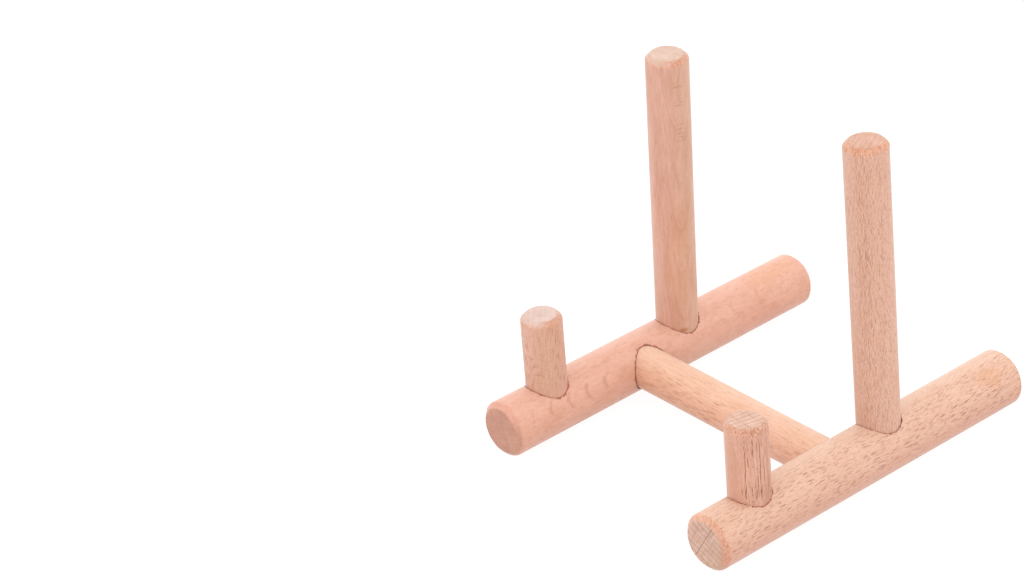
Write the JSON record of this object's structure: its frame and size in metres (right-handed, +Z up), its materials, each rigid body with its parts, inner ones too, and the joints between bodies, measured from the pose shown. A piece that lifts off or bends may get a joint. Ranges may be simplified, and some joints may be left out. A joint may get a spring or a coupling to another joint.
{
  "type": "plate display stand",
  "caption": "Free-standing wooden dowel stand: two round rails joined by a cross bar, with short front posts and tall back posts that hold a plate on edge.",
  "frame": {"origin": "on the table, under the middle of the stand's footprint", "axes": "+Y along the rails from the short front posts to the tall back posts, +X to the right seen from the front, +Z up"},
  "size_m": [0.0964, 0.1124, 0.0985],
  "materials": {
    "left_rail_wood": "bare sanded beech, matt",
    "right_rail_wood": "bare sanded beech, matt",
    "cross_bar_wood": "bare sanded beech, matt",
    "left_front_post_wood": "bare sanded beech, matt",
    "right_front_post_wood": "bare sanded beech, matt",
    "left_back_post_wood": "bare sanded beech, matt",
    "right_back_post_wood": "bare sanded beech, matt"
  },
  "bodies": {
    "root": {"left_rail": "left_rail_wood", "right_rail": "right_rail_wood", "cross_bar": "cross_bar_wood", "left_front_post": "left_front_post_wood", "right_front_post": "right_front_post_wood", "left_back_post": "left_back_post_wood", "right_back_post": "right_back_post_wood"}
  },
  "joints": []
}
